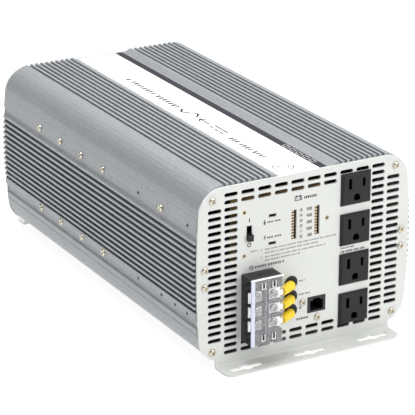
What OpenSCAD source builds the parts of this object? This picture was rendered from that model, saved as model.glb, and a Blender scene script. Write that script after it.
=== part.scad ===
// Power inverter: a finned two-part case with an AC output panel in front and a DC panel behind.
// +Z is up, the front faces -Y, and the origin is under the middle, on the mounting plane.
// Inside each module, heights are counted from the middle of the end panels.

/* [Case] */
// Distance between the outer faces of the two end panels
case_len = 357; // [340:1:400]
// Width over the middle of the side fins
case_w = 200; // [199:0.5:203]
// Top of the fins above the panels' middle
case_top = 75; // [75:0.5:78]
// Underside of the case below the panels' middle
case_bottom = 73; // [72.5:0.5:74]
// Radius of the case's long corners
case_corner_r = 26; // [24:1:28]
// Radius of the gently bowed sides
side_bow_r = 360; // [340:10:500]
// Half of the inside width
inside_half_w = 91.5; // [91:0.5:92]
// Height of the seam between the two shells
seam_z = 3.3; // [3.3:0.05:3.4]

/* [Fins] */
// Spacing of the side fins
side_pitch = 4.9; // [4.8:0.1:5]
// Number of gaps in each side's fin field
side_gaps = 12; // [12:2:12]
// Width of a side gap
side_gap_w = 2.9; // [2.4:0.1:3.1]
// Depth of a side gap from the widest point
side_gap_d = 5.5; // [4:0.5:5.5]
// Depth of the two side gaps next to the seam
seam_gap_d = 6.5; // [5.5:0.5:6.5]
// Depth of the two side gaps over the screw ports
port_gap_d = 3.8; // [3.4:0.2:5.4]
// Height of the middle of the side fin field
side_mid = 0.9; // [0.6:0.1:1.2]
// Spacing of the top fins
top_pitch = 5; // [4.8:0.1:5]
// Number of gaps on each half of the top
top_gaps = 9; // [7:1:9]
// Distance of the first top gap from the middle
top_first = 32.5; // [31:0.5:33]
// Width of a top gap
top_gap_w = 2.5; // [2.2:0.1:3]
// Depth of a top gap
top_gap_d = 3.2; // [2.8:0.2:5]

/* [End panels] */
// Sheet thickness of the end panels
sheet = 1.5; // [1.5:0.1:1.5]
// Width of an end panel
panel_w = 195.6; // [195:0.1:196]
// Height of the mounting plane below the panels' middle
foot_drop = 78.5; // [78:0.5:79]
// Width of a mounting flange
flange_w = 162; // [155:1:164]
// Depth of a mounting flange in front of its panel
flange_d = 20; // [18:1:22]
// Distance of the flange slots from the panel's face
slot_out = 10.5; // [9:0.5:11.5]
// Spacing of the three flange slots
slot_pitch = 59; // [56:1:60]
// End-to-end length of a flange slot
slot_len = 29.6; // [24:0.2:32]
// Half of a flange slot's width
slot_r = 2.4; // [2.1:0.1:2.6]
// Radius of the round hole in the middle of a flange slot
slot_eye_r = 4.4; // [4:0.1:4.6]

/* [Output panel] */
// Spacing of the louvre columns
louvre_col = 15; // [15:0.5:15]
// Spacing of the louvre rows
louvre_row = 6; // [6:0.5:6]
// Length of a louvre slot
louvre_len = 12; // [9:0.1:12.2]
// Width of a louvre slot
louvre_w = 3.4; // [3:0.1:3.6]
// Middle of the receptacle column
outlet_x = 46; // [45:0.5:47]
// Spacing of the four receptacles
outlet_pitch = 34; // [33.5:0.5:34]
// Distance between the two blade slots of a receptacle
blade_gap = 12.7; // [12.7:0.1:12.7]
// Travel of the switch knob
switch_travel = 6.6; // [5:0.1:6.8]
// Spacing of the terminal block's poles
pole_pitch = 12; // [12:0.1:12]

/* [DC end] */
// Frame size of the two fans
fan_size = 80; // [80:1:80]
// Distance of each fan's middle from the centre line
fan_x = 44; // [43:1:46]
// Height of the fans' middle
fan_z = 19.5; // [18:0.5:19.5]
// Radius of a fan rotor
rotor_r = 36; // [34:0.5:37]
// Distance of each DC post from the centre line
post_x = 40; // [34:1:50]
// Height of the DC posts
post_z = -45; // [-48:1:-42]
// Radius of a DC stud
stud_r = 4; // [4:0.5:4]

/* [Hidden] */
$fn = 48;
e = 0.01;
front = -case_len / 2;
back = case_len / 2;
shell_len = case_len - 2 * sheet;
inside_front = front + sheet;
inside_back = back - sheet;
inside_top = case_top - 7.5;
inside_bottom = -case_bottom + 2.5;
inside_r = 18;
panel_top = 73;
label_z = 72;
panel_bottom = -72;
bend_r = 1.5;

port_corner = [84, 63.3];
port_seam = [90.8, 7.2];
port_r = 3.2;
m3_r = 1.5;
m3_hole_r = 1.65;
panel_head_r = 2.9;

upper_screw_z = 41.2;
lower_screw_z = -32.4;
upper_screw_y = [-120.5, -19, 21.3, 61.6, 101.9];
upper_hole_y = [-163.8, -81.9];
lower_screw_y = [-19, 21.3, 61.6, 101.9];
lower_hole_y = [-163.8, -144.2, -121.7, -81.6];
clamp_t = 5;
chip = [5, 16, 20];

outlet_z = [for (i = [0:3]) (1.5 - i) * outlet_pitch];
outlet_face = [27.4, 26.6];
outlet_neck = [25, 24.2];
outlet_proud = 2.8;
outlet_deep = 20;
slot_deep = 14;

switch_x = -51.1;
switch_z = 30.8;
board_y = inside_front + 9;
board_t = 1.6;
clinch = [[-55.6, 48.7], [-55.6, 12.4], [20, 30.4]];
bar_x = [-10.6, 10.6];
bar_z = 30.4;
lamp_x = -30.2;
lamp_z = [41.8, 18.6];

block_x = -43.9;
block_z = -30.3;
block_w = 28.2;
block_h = 56;
block_floor = 10.5;
block_deep = 15;
plate_t = 1.2;
tongue_t = 0.9;
screw_cols = [-51.4, -36.2];
poles = [for (i = [-1:1]) block_z - 0.3 - i * pole_pitch];
clips = [for (x = [-47.4, -37.9], z = [-8.3, -52.4]) [x, z]];
cover_t = 1.4;
lead_x = -12.5;
lead_r = 2.3;
lead_bend = 4;
lead_tilt = 30;
lead_end = 4.4;
lead_out = 0.8;
grommet_r = 5.8;
sleeve_r = 4.1;
sleeve_len = 15.4;
tongue_end = -26.4;

jack_x = 11.45;
jack_z = -41.6;
jack_w = 16.9;
jack_h = 13.7;
jack_screws = [[-1.7, -37.6], [12.3, -53]];

fan_t = 25;
fan_front = inside_back - fan_t;
fan_hole = 35.75;
main_z = -58;
stud_root_r = 3.4;
post_nut_y = back + 12.4;
upper_z = 57;

// ---- helpers ----

// Points along an arc
function arc(x, z, r, a0, a1, n) =
    [for (i = [0:n]) let (a = a0 + (a1 - a0) * i / n) [x + r * cos(a), z + r * sin(a)]];

// Right half of a bowed outline: round corner, bowed side, round corner
function half_outline(w, top, bottom, r, bow) =
    let (mid = (top + bottom) / 2, x0 = w / 2 - bow, up = top - r - mid,
        a = asin(up / (bow - r)), x1 = x0 + (bow - r) * cos(a), side = arc(x0, mid, bow, -a, a, 16))
    concat(arc(x1, bottom + r, r, -90, -a, 9), [for (i = [1:15]) side[i]],
        arc(x1, top - r, r, a, 90, 9));

module bowed_outline(w, top, bottom, r, bow) {
    right = half_outline(w, top, bottom, r, bow);
    last = len(right) - 1;
    polygon(concat(right, [for (i = [last:-1:0]) [-right[i].x, right[i].y]]));
}

module round_rect(w, top, bottom, r) {
    square_box([-w / 2 + r, bottom], [w / 2 - r, top]);
    square_box([-w / 2, bottom + r], [w / 2, top - r]);
    for (x = [-w / 2 + r, w / 2 - r], z = [bottom + r, top - r])
        translate([x, z]) circle(r);
}

module square_box(low, high) {
    translate(low) square(high - low);
}

// Lays a drawing made in X and Z between two places along Y
module slab(y0, y1) {
    translate([0, max(y0, y1), 0]) rotate([90, 0, 0]) linear_extrude(abs(y1 - y0)) children();
}

// A round bar along Y
module rod_y(x, z, r, y0, y1) {
    translate([x, min(y0, y1), z]) rotate([-90, 0, 0]) cylinder(r = r, h = abs(y1 - y0));
}

// A round bar along X, from x0 to x1
module rod_x(y, z, r, x0, x1) {
    translate([min(x0, x1), y, z]) rotate([0, 90, 0]) cylinder(r = r, h = abs(x1 - x0));
}

module box(low, high) {
    translate(low) cube(high - low);
}

// A slot with round ends, drawn about the origin
module stadium(length, width) {
    square([length - width, width], center = true);
    for (s = [-1, 1]) translate([s * (length - width) / 2, 0]) circle(width / 2);
}

module both_sides() {
    for (s = [0, 1]) mirror([s, 0, 0]) children();
}

// Pan head with a cross recess on a shank; the head's top points to +Z and its seat is at z = 0
module pan_screw(head_r, head_h, shank_r, length) {
    difference() {
        union() {
            cylinder(r = head_r, h = head_h * 0.6);
            translate([0, 0, head_h * 0.6 - e])
                cylinder(r1 = head_r, r2 = head_r * 0.72, h = head_h * 0.4 + e);
        }
        for (a = [0, 90]) rotate(a)
            translate([-head_r * 0.55, -head_r * 0.12, head_h * 0.45])
                cube([head_r * 1.1, head_r * 0.24, head_h]);
    }
    translate([0, 0, -length]) cylinder(r = shank_r, h = length + e);
}

// ---- case ----

module ports() {
    both_sides() for (p = [port_corner, port_seam, [port_corner.x, -port_corner.y],
            [port_seam.x, -port_seam.y]])
        translate(p) circle(port_r);
}

module port_holes() {
    both_sides() for (p = [port_corner, port_seam, [port_corner.x, -port_corner.y],
            [port_seam.x, -port_seam.y]])
        translate(p) circle(m3_r + 0.01);
}

module case_section() {
    difference() {
        bowed_outline(case_w, case_top, -case_bottom, case_corner_r, side_bow_r);
        difference() {
            round_rect(2 * inside_half_w, inside_top, inside_bottom, inside_r);
            ports();
        }
        port_holes();
        both_sides() {
            // side fins
            for (i = [0:side_gaps - 1]) {
                off = abs(i - (side_gaps - 1) / 2);
                depth = off < 1 ? seam_gap_d : off < 2 ? port_gap_d : side_gap_d;
                z = side_mid + (i - (side_gaps - 1) / 2) * side_pitch;
                square_box([case_w / 2 - depth, z - side_gap_w / 2], [case_w / 2 + 1, z + side_gap_w / 2]);
            }
            // top fins
            for (i = [0:top_gaps - 1]) {
                x = top_first + i * top_pitch;
                square_box([x - top_gap_w / 2, case_top - top_gap_d], [x + top_gap_w / 2, case_top + 1]);
            }
            // shallow coves over and under the side fins, and fine lines beyond them
            translate([102.8, 36.4]) circle(6.3);
            translate([101.4, -37.8]) circle(5.3);
            for (z = [50, -47]) translate([97, z]) rotate(45) square(0.7, center = true);
        }
        // recess for the label
        polygon([[-28.5, case_top + e], [28.5, case_top + e], [23.5, label_z], [-23.5, label_z]]);
    }
}

// Clearance and flat seats for the screws that go in through the sides
module side_drillings(z, seat_x, ys, seats) {
    both_sides() for (y = ys) {
        rod_x(y, z, m3_hole_r, inside_half_w - 2, case_w / 2 + 2);
        if (seats) rod_x(y, z, 3.3, seat_x, case_w / 2 + 2);
    }
}

upper_seat = 97.5;
lower_seat = 97.9;

module shell(low, high) {
    difference() {
        slab(-shell_len / 2, shell_len / 2) intersection() {
            case_section();
            square_box([-case_w, low], [case_w, high]);
        }
        if (high > 0) {
            side_drillings(upper_screw_z, upper_seat, upper_screw_y, true);
            side_drillings(upper_screw_z, upper_seat, upper_hole_y, false);
        }
        if (low < 0) {
            side_drillings(lower_screw_z, lower_seat, lower_screw_y, true);
            side_drillings(lower_screw_z, lower_seat, lower_hole_y, false);
        }
    }
}

module top_shell() {
    color("#9b9ca0") shell(seam_z, case_w);
}

module bottom_shell() {
    color("#97989c") shell(-case_w, seam_z);
}

module label_band(x0, x1) {
    box([x0, -shell_len / 2 + 0.5, label_z], [x1, shell_len / 2 - 0.5, label_z + 0.3]);
}

module top_label() {
    color("#dcdcda") label_band(-23.2, 14.4);
}

module label_stripe() {
    color("#4c4a50") label_band(14.5, 21.5);
}

// ---- end panels ----

// Sheet bent forward into the mounting flange, with its outer corners rounded
module flange() {
    zf = -foot_drop;
    yb = front - bend_r;
    outer_r = 8;
    section = concat([[inside_front, panel_bottom + 2], [inside_front, zf + bend_r + sheet]],
        arc(yb, zf + bend_r + sheet, bend_r + sheet, 0, -90, 8),
        [[front - flange_d, zf], [front - flange_d, zf + sheet]],
        arc(yb, zf + bend_r + sheet, bend_r, -90, 0, 8), [[front, panel_bottom + 2]]);
    difference() {
        intersection() {
            translate([-flange_w / 2, 0, 0]) rotate([90, 0, 90]) linear_extrude(flange_w) polygon(section);
            translate([0, 0, zf - 1]) linear_extrude(20) union() {
                square_box([-flange_w / 2, front - flange_d + outer_r], [flange_w / 2, front + 5]);
                square_box([-flange_w / 2 + outer_r, front - flange_d], [flange_w / 2 - outer_r, front]);
                for (s = [-1, 1])
                    translate([s * (flange_w / 2 - outer_r), front - flange_d + outer_r]) circle(outer_r);
            }
        }
        for (i = [-1:1]) translate([i * slot_pitch, front - slot_out, zf - 1]) linear_extrude(5) {
            stadium(slot_len, 2 * slot_r);
            circle(slot_eye_r);
        }
    }
}

// One end panel for the front end; children are the 2-D cut-outs
module end_panel() {
    slab(front, inside_front) difference() {
        union() {
            bowed_outline(panel_w, panel_top, panel_bottom, 21, 750);
            square_box([-flange_w / 2, panel_bottom - 0.5], [flange_w / 2, panel_bottom + 10]);
        }
        both_sides() for (p = [port_corner, port_seam, [port_corner.x, -port_corner.y],
                [port_seam.x, -port_seam.y]])
            translate(p) circle(m3_hole_r);
        children();
    }
    flange();
}

module louvre(column, row) {
    translate([column * louvre_col, (12 - row) * louvre_row]) stadium(louvre_len, louvre_w);
}

module front_cutouts() {
    for (s = [-1, 1]) {
        for (row = [1:23]) louvre(s * 4.5, row);
        for (row = [3:21]) translate([s * 14.5, 0]) louvre(s * 4.5, row);
        for (column = [0.5:3.5], row = [1, 23]) louvre(s * column, row);
        for (column = [0.5:3.5], row = [2, 22]) if (s * column < 2) louvre(s * column, row);
    }
    for (z = outlet_z) translate([outlet_x, z]) square(outlet_neck, center = true);
    translate([switch_x, switch_z]) square([5, 12.6], center = true);
    for (x = bar_x) translate([x, bar_z]) square([4.8, 24.6], center = true);
    for (z = lamp_z) translate([lamp_x, z]) square([6.8, 2.6], center = true);
    for (p = clinch) translate(p) circle(2.75);
    translate([jack_x, jack_z]) square([jack_w, jack_h], center = true);
    for (p = jack_screws) translate(p) circle(m3_hole_r);
    for (z = poles) translate([lead_x, z]) circle(grommet_r - 1);
    for (z = [-8.3, -52.4]) translate([block_x, z]) circle(m3_hole_r);
}

module front_panel() {
    color("#d6d8d4") end_panel() front_cutouts();
}

module rear_cutouts() {
    for (s = [-1, 1]) {
        translate([s * fan_x, fan_z]) circle(rotor_r + 1.5);
        for (a = [45:90:315])
            translate([s * fan_x + fan_hole * sqrt(2) * cos(a), fan_z + fan_hole * sqrt(2) * sin(a)])
                circle(2.1);
        translate([s * post_x, post_z]) circle(10);
        for (row = [16:21]) louvre(s * 5, row);
    }
    translate([0, post_z - 8]) circle(3.1);
}

module rear_panel() {
    color("#d2d4d0") mirror([0, 1, 0]) end_panel() rear_cutouts();
}

module panel_screw_set() {
    both_sides() for (p = [port_corner, port_seam, [port_corner.x, -port_corner.y],
            [port_seam.x, -port_seam.y]])
        translate([p.x, front, p.y]) rotate([90, 0, 0]) pan_screw(panel_head_r, 2, m3_r, 10);
}

module front_panel_screws() {
    color("#b9b4a6") panel_screw_set();
}

module rear_panel_screws() {
    color("#b9b4a6") mirror([0, 1, 0]) panel_screw_set();
}

module side_screws() {
    color("#b9b4a6") both_sides() {
        for (y = upper_screw_y)
            translate([upper_seat, y, upper_screw_z]) rotate([0, 90, 0]) pan_screw(2.9, 1.9, m3_r, 15);
        for (y = lower_screw_y)
            translate([lower_seat, y, lower_screw_z]) rotate([0, 90, 0]) pan_screw(2.9, 1.9, m3_r, 15);
    }
}

// ---- receptacles ----

module blade_slots() {
    for (s = [-1, 1]) translate([s * blade_gap / 2, 4.8])
        square(s < 0 ? [3, 8.8] : [2.6, 7], center = true);
}

// Round-topped hole with a flat foot for the ground pin
module ground_hole() {
    translate([0, -7]) {
        circle(2.95);
        square_box([-2.95, -2.5], [2.95, 0]);
    }
}

module outlet_tabs() {
    for (x = [-blade_gap / 2, blade_gap / 2, 0])
        translate([x, 0, x == 0 ? -7 : 4.8])
            box([-0.4, front + slot_deep + 0.5, -2], [0.4, front + outlet_deep + 7, 2]);
}

module outlet(i) {
    chamfer = 1.6;
    w = outlet_face.x / 2;
    h = outlet_face.y / 2;
    color("#2b2b2d") translate([outlet_x, 0, outlet_z[i - 1]]) difference() {
        union() {
            intersection() {
                translate([0, 0, -h]) linear_extrude(2 * h)
                    polygon([[-w, front], [w, front], [w, front - 1.2], [w - chamfer, front - outlet_proud],
                        [-w + chamfer, front - outlet_proud], [-w, front - 1.2]]);
                translate([-w, 0, 0]) rotate([90, 0, 90]) linear_extrude(2 * w)
                    polygon([[front, -h], [front, h], [front - 1.2, h], [front - outlet_proud, h - chamfer],
                        [front - outlet_proud, -h + chamfer], [front - 1.2, -h]]);
            }
            slab(front - 0.5, front + outlet_deep) square(outlet_neck - [0.2, 0.2], center = true);
        }
        slab(front - 5, front + slot_deep) blade_slots();
        slab(front - 5, front + slot_deep) ground_hole();
        outlet_tabs();
    }
}

module outlet_contacts() {
    color("#c9a24a") for (z = outlet_z) translate([outlet_x, 0, z]) outlet_tabs();
}

// ---- switch and displays ----

module switch_body() {
    color("#1c1c1e") difference() {
        box([switch_x - 5.5, inside_front + 0.2, switch_z - 10], [switch_x + 5.5, board_y, switch_z + 10]);
        box([switch_x - 2.6, front, switch_z - 6.7], [switch_x + 2.6, inside_front + 5, switch_z + 6.7]);
    }
}

module switch_knob() {
    z0 = switch_z - 6.3 + 0.3;
    color("#161618") {
        box([switch_x - 2.15, front - 3.2, z0], [switch_x + 2.15, inside_front + 4.6, z0 + 5.3]);
        for (i = [0:2])
            translate([switch_x - 2.15, front - 3.6, z0 + 0.5 + i * 1.75]) cube([4.3, 0.5, 0.8]);
    }
}

module indicator_board() {
    color("#8a6a3a") difference() {
        box([-62, board_y, 5], [27, board_y + board_t, 56]);
        for (p = clinch) rod_y(p.x, p.y, 1.6, board_y - 1, board_y + board_t + 1);
    }
}

// Clinched posts, flush with the panel's face, with a screw from behind the board
module board_standoffs() {
    color("#c8bfa8") for (p = clinch) translate([p.x, 0, p.y]) {
        difference() {
            rod_y(0, 0, 2.75, front, board_y);
            rod_y(0, 0, 1.45, front - 1, front + 2.5);
            rod_y(0, 0, 1.5, board_y - 6, board_y + 1);
        }
        translate([0, board_y + board_t, 0]) rotate([-90, 0, 0]) cylinder(r = 2.7, h = 1.8);
        rod_y(0, 0, 1.49, board_y - 5.5, board_y + board_t + 0.5);
    }
}

// Ten bright segments standing slightly out of a dark block
module bar_display(x) {
    translate([x, 0, bar_z]) {
        color("#26211f") box([-5.1, inside_front + 1.2, -12.65], [5.1, board_y, 12.65]);
        color("#d8c4ac") for (i = [-4.5:4.5])
            box([-2.6, inside_front + 0.9, i * 2.5 - 0.75], [2.6, inside_front + 1.2 + e, i * 2.5 + 0.75]);
    }
}

module battery_bar() { bar_display(bar_x[0]); }

module load_bar() { bar_display(bar_x[1]); }

module status_lamps() {
    color("#40302c") for (z = lamp_z)
        box([lamp_x - 2.5, inside_front + 0.4, z - 1], [lamp_x + 2.5, board_y, z + 1]);
}

// ---- remote jack ----

module remote_jack() {
    back_y = front + 18;
    color("#1b1b1d") translate([jack_x, 0, jack_z]) difference() {
        union() {
            slab(front - 0.4, back_y) square([jack_w - 0.2, jack_h - 0.2], center = true);
            // ears behind the sheet that the two screws hold
            box([jack_screws[0].x - jack_x - 4, inside_front, 0], [-jack_w / 2 + 1, inside_front + 3, 6.6]);
            box([-4, inside_front, jack_screws[1].y - jack_z - 4], [5, inside_front + 3, -jack_h / 2 + 1]);
        }
        box([-6, front - 1, -5.1], [6, front + 14, 3.4]);
        box([-3.3, front - 1, 3.3], [3.3, front + 14, 5]);
        for (p = jack_screws)
            rod_y(p.x - jack_x, p.y - jack_z, m3_r + 0.01, inside_front - 1, inside_front + 6);
    }
}

module remote_jack_screws() {
    color("#b9b4a6") for (p = jack_screws)
        translate([p.x, front, p.y]) rotate([90, 0, 0]) pan_screw(2.8, 1.9, m3_r, 4.4);
}

// ---- AC terminal block ----

module terminal_base() {
    x0 = block_x - block_w / 2;
    x1 = block_x + block_w / 2;
    top = block_z + block_h / 2;
    bottom = block_z - block_h / 2;
    end_h = 10;
    color("#1a1a1c") difference() {
        union() {
            box([x0, front - block_floor, bottom], [x1, front, top]);
            for (z = [bottom, top - end_h]) box([x0, front - block_deep, z], [x1, front, z + end_h]);
            for (i = [-0.5, 0.5]) {
                z = block_z - 0.3 + i * pole_pitch;
                box([x0, front - block_deep, z - 0.9], [x1, front, z + 0.9]);
            }
            box([block_x - 2.2, front - block_deep, bottom], [block_x + 2.2, front, top]);
            for (p = clips)
                slab(front - block_deep - 1.2, front) translate(p) square([1.6, 3.9], center = true);
        }
        for (z = poles, x = screw_cols) rod_y(x, z, 2.01, front - block_floor - 1, front - 2);
    }
    // two screws from inside the case would hold the block; their shanks are moulded pins here
    color("#1a1a1c") for (z = [-8.3, -52.4]) rod_y(block_x, z, 1.5, front - e, inside_front + 4);
}

module terminal_clamps() {
    y1 = front - block_floor;
    color("#d8d8d6") difference() {
        for (z = poles) {
            box([block_x - block_w / 2, y1 - plate_t, z - 4.4], [block_x - 2.4, y1, z + 4.4]);
            box([block_x + 2.4, y1 - plate_t, z - 4.4], [block_x + block_w / 2, y1, z + 4.4]);
        }
        for (z = poles, x = screw_cols) rod_y(x, z, 2.05, y1 - plate_t - 1, y1 + 1);
    }
}

module terminal_screws() {
    seat = front - block_floor - plate_t;
    color("#e4e4e2") for (z = poles) {
        translate([screw_cols[0], seat, z]) rotate([90, 0, 0]) pan_screw(3.6, 2.2, 2, 9);
        translate([screw_cols[1], seat - tongue_t, z]) rotate([90, 0, 0]) pan_screw(3.6, 2.2, 2, 9);
    }
}

module terminal_cover() {
    y0 = front - block_deep - 0.3;
    w = block_w / 2 + 0.4;
    h = block_h / 2 + 0.2;
    color("#8e9094", 0.55) translate([block_x, 0, block_z]) difference() {
        union() {
            box([-w, y0 - cover_t, -h], [w, y0, h]);
            for (x = [-1.6, 1.6]) box([x - 0.45, y0 - cover_t - 0.4, -20], [x + 0.45, y0 - cover_t + e, 20]);
        }
        for (p = clips) slab(y0 - 5, y0 + 5)
            translate([p.x - block_x, p.y - block_z]) square([2.2, 4.5], center = true);
    }
}

// ---- leads from the case to the block ----

module wire_grommets() {
    color("#141414") for (z = poles) difference() {
        union() {
            rod_y(lead_x, z, grommet_r, front - lead_out, front);
            rod_y(lead_x, z, grommet_r - 1.05, front - e, inside_front + e);
            rod_y(lead_x, z, grommet_r, inside_front, inside_front + 1.6);
        }
        rod_y(lead_x, z, lead_r + 0.01, front - 3, front + 6);
    }
}

// Turns to a sleeve's mouth, with +Z along the sleeve towards the block
module at_sleeve(z) {
    turn = 90 - lead_tilt;
    translate([lead_x - lead_bend * (1 - cos(turn)), front - lead_out - lead_bend * sin(turn), z])
        rotate([90, 0, -turn]) children();
}

// Straight out through the grommet, up to the mouth of the sleeve
module ac_wires() {
    color("#121214") for (z = poles) rod_y(lead_x, z, lead_r, front - lead_end, inside_front + 60);
}

module lug_sleeves() {
    color("#e8cf2a") for (z = poles) difference() {
        at_sleeve(z) difference() {
            union() {
                translate([0, 0, 0.4]) cylinder(r = sleeve_r, h = 8.6);
                translate([0, 0, 9 - e]) cylinder(r1 = sleeve_r, r2 = sleeve_r - 0.5, h = sleeve_len - 9);
            }
            translate([0, 0, -1]) cylinder(r = lead_r + 0.01, h = 5.02);
        }
        tongue_shape(z);
    }
}

// Flat ring tongue under the screw, with a round barrel that the sleeve covers
module tongue_shape(z) {
    seat = front - block_floor - plate_t;
    slab(seat - tongue_t, seat) difference() {
        union() {
            translate([screw_cols[1], z]) circle(4.1);
            square_box([screw_cols[1], z - 2.2], [tongue_end, z + 2.2]);
        }
        translate([screw_cols[1], z]) circle(2.05);
    }
}

module lug_tongues() {
    color("#cfcfcd") for (z = poles) tongue_shape(z);
}

// ---- fans ----

module fan_frame() {
    inner = rotor_r + 1.2;
    color("#1d1d1f") difference() {
        union() {
            difference() {
                box([-fan_size / 2, fan_front, -fan_size / 2], [fan_size / 2, inside_back, fan_size / 2]);
                rod_y(0, 0, inner, fan_front - 1, inside_back + 1);
                // open waist between the two square flanges
                for (a = [0:90:270]) rotate([0, a, 0])
                    box([-22, fan_front + 4, fan_size / 2 - 1.6], [22, inside_back - 4, fan_size]);
            }
            rod_y(0, 0, 16, fan_front, fan_front + 3);
            for (a = [0:90:270]) rotate([0, a + 20, 0])
                box([14, fan_front, -2], [inner + 0.5, fan_front + 3, 2]);
        }
        rod_y(0, 0, 1.55, fan_front - 1, fan_front + 4);
        for (x = [-fan_hole, fan_hole], z = [-fan_hole, fan_hole])
            rod_y(x, z, 2.01, fan_front - 1, inside_back + 1);
    }
}

// Hub cup with seven pitched blades on a short shaft
module fan_rotor() {
    y0 = fan_front + 3.6;
    y1 = inside_back - 2.5;
    color("#232325") {
        rod_y(0, 0, 15.5, y0, y1);
        rod_y(0, 0, 1.5, fan_front + 0.2, y0 + 1);
        for (i = [0:6]) rotate([0, i * 360 / 7, 0]) intersection() {
            translate([14, (y0 + y1) / 2, 0]) rotate([38, 0, 0])
                box([0, -11, -0.7], [rotor_r - 14, 11, 0.7]);
            rod_y(0, 0, rotor_r, y0 + 0.2, y1 - 0.2);
        }
    }
}

// Wire finger guard: four rings on two crossed wires with eyes at the corners
module fan_guard() {
    ring_y = back + 3.2;
    color("#c4c6c8") {
        for (r = [9, 18, 27, 36]) translate([0, ring_y, 0]) rotate([90, 0, 0])
            rotate_extrude() translate([r, 0]) circle(1.1);
        for (a = [45, 135]) for (s = [0, 180]) rotate([0, a + s, 0]) {
            rod_x(back + 1.4, 0, 1, 7.5, 47);
            difference() {
                rod_y(fan_hole * sqrt(2), 0, 4, back + 0.4, back + 2.4);
                rod_y(fan_hole * sqrt(2), 0, 2.05, back, back + 4);
            }
        }
    }
}

module at_fan(s) {
    translate([s * fan_x, 0, fan_z]) children();
}

module fan_screws() {
    color("#b9b4a6") for (s = [-1, 1]) at_fan(s)
        for (x = [-fan_hole, fan_hole], z = [-fan_hole, fan_hole])
            translate([x, back + 2.4, z]) rotate([-90, 0, 0]) pan_screw(3.4, 2.2, 2, 26);
}

// ---- DC end ----

module dc_post() {
    difference() {
        union() {
            rod_y(0, 0, 14, back, back + 6);
            rod_y(0, 0, 9.8, back - 4, back + e);
            rod_y(0, 0, 14, inside_back - 5, inside_back);
        }
        rod_y(0, 0, stud_root_r + 0.01, back - 20, back + 20);
    }
}

module dc_post_positive() {
    color("#b02222") translate([-post_x, 0, post_z]) dc_post();
}

module dc_post_negative() {
    color("#1a1a1a") translate([post_x, 0, post_z]) dc_post();
}

// Studs with a slightly thinner stretch where the nuts and the post sit
module dc_studs() {
    color("#c9b36a") for (s = [-1, 1]) {
        rod_y(s * post_x, post_z, stud_root_r, inside_back - 16, post_nut_y + e);
        rod_y(s * post_x, post_z, stud_r, post_nut_y, back + 19);
    }
}

// Flange nut, washer and the nut that holds the bus bar inside
module dc_nuts() {
    color("#c4c4c2") for (s = [-1, 1]) translate([s * post_x, 0, post_z]) difference() {
        union() {
            rod_y(0, 0, 8.5, back + 6, back + 7.4);
            translate([0, post_nut_y, 0]) rotate([90, 0, 0]) cylinder(r = 7.5, h = 5.01, $fn = 6);
            translate([0, inside_back - 8.01, 0]) rotate([90, 0, 0]) cylinder(r = 7.5, h = 5, $fn = 6);
        }
        rod_y(0, 0, stud_root_r + 0.01, back - 30, back + 30);
    }
}

module ground_stud() {
    color("#c4c4c2") translate([0, 0, post_z - 8]) {
        rod_y(0, 0, 2.9, inside_back - 8, back + 6 + e);
        rod_y(0, 0, 3, back + 6, back + 14);
        difference() {
            union() {
                translate([0, back + 6, 0]) rotate([90, 0, 0]) cylinder(r = 5.6, h = 5, $fn = 6);
                rod_y(0, 0, 6, back, back + 1);
                translate([0, inside_back, 0]) rotate([90, 0, 0]) cylinder(r = 5.6, h = 4, $fn = 6);
            }
            rod_y(0, 0, 2.9 - e, back - 30, back + 30);
        }
    }
}

// Copper bars from the studs down on to the main board
module dc_bus_bars() {
    y1 = inside_back - 5;
    floor_z = main_z + board_t;
    color("#b87333") for (s = [-1, 1]) translate([s * post_x, 0, 0]) difference() {
        union() {
            box([-8, y1 - 3, floor_z], [8, y1, post_z + 12]);
            box([-8, y1 - 60, floor_z], [8, y1, floor_z + 3]);
        }
        rod_y(0, post_z, stud_root_r + 0.01, y1 - 10, y1 + 5);
    }
}

// ---- boards and power parts ----

board_half_w = 88.5;
board_front = -140;
board_back = 135;
post_spots = [for (x = [-70, 70], y = [board_front + 8, 0, board_back - 8]) [x, y]];

module board(z) {
    difference() {
        box([-board_half_w, board_front, z], [board_half_w, board_back, z + board_t]);
        for (p = post_spots) translate([p.x, p.y, z - 1]) cylinder(r = 1.6, h = 4);
    }
}

module main_board() {
    color("#2f5d3a") board(main_z);
}

module upper_board() {
    color("#8a6a3a") board(upper_z);
}

module hex_post(z0, z1, up) {
    translate([0, 0, z0]) cylinder(r = 3.4, h = z1 - z0, $fn = 6);
    // the screw that holds the board
    if (up) {
        translate([0, 0, z1 - e]) cylinder(r = 1.5, h = board_t + 2 * e);
        translate([0, 0, z1 + board_t]) cylinder(r = 2.8, h = 2);
    } else {
        translate([0, 0, z0 - board_t - e]) cylinder(r = 1.5, h = board_t + 2 * e);
        translate([0, 0, z0 - board_t - 2]) cylinder(r = 2.8, h = 2);
    }
}

module main_board_standoffs() {
    color("#c8bfa8") for (p = post_spots) translate([p.x, p.y, 0]) hex_post(inside_bottom, main_z, true);
}

module upper_board_standoffs() {
    color("#c8bfa8") for (p = post_spots)
        translate([p.x, p.y, 0]) hex_post(upper_z + board_t, inside_top, false);
}

// Package against the wall, with three leads that reach the board's near face
module transistor(z, board_z) {
    x1 = inside_half_w;
    near = z + sign(board_z - z) * chip.z / 2;
    box([x1 - chip.x, -chip.y / 2, z - chip.z / 2], [x1, chip.y / 2, z + chip.z / 2]);
    for (y = [-5.4, 0, 5.4])
        box([x1 - 4.4, y - 0.6, min(board_z, near)], [x1 - 3.6, y + 0.6, max(board_z, near)]);
}

chip_rows = [for (i = [0:2], o = [-9, 9]) (lower_screw_y[i] + lower_screw_y[i + 1]) / 2 + o];

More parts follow.
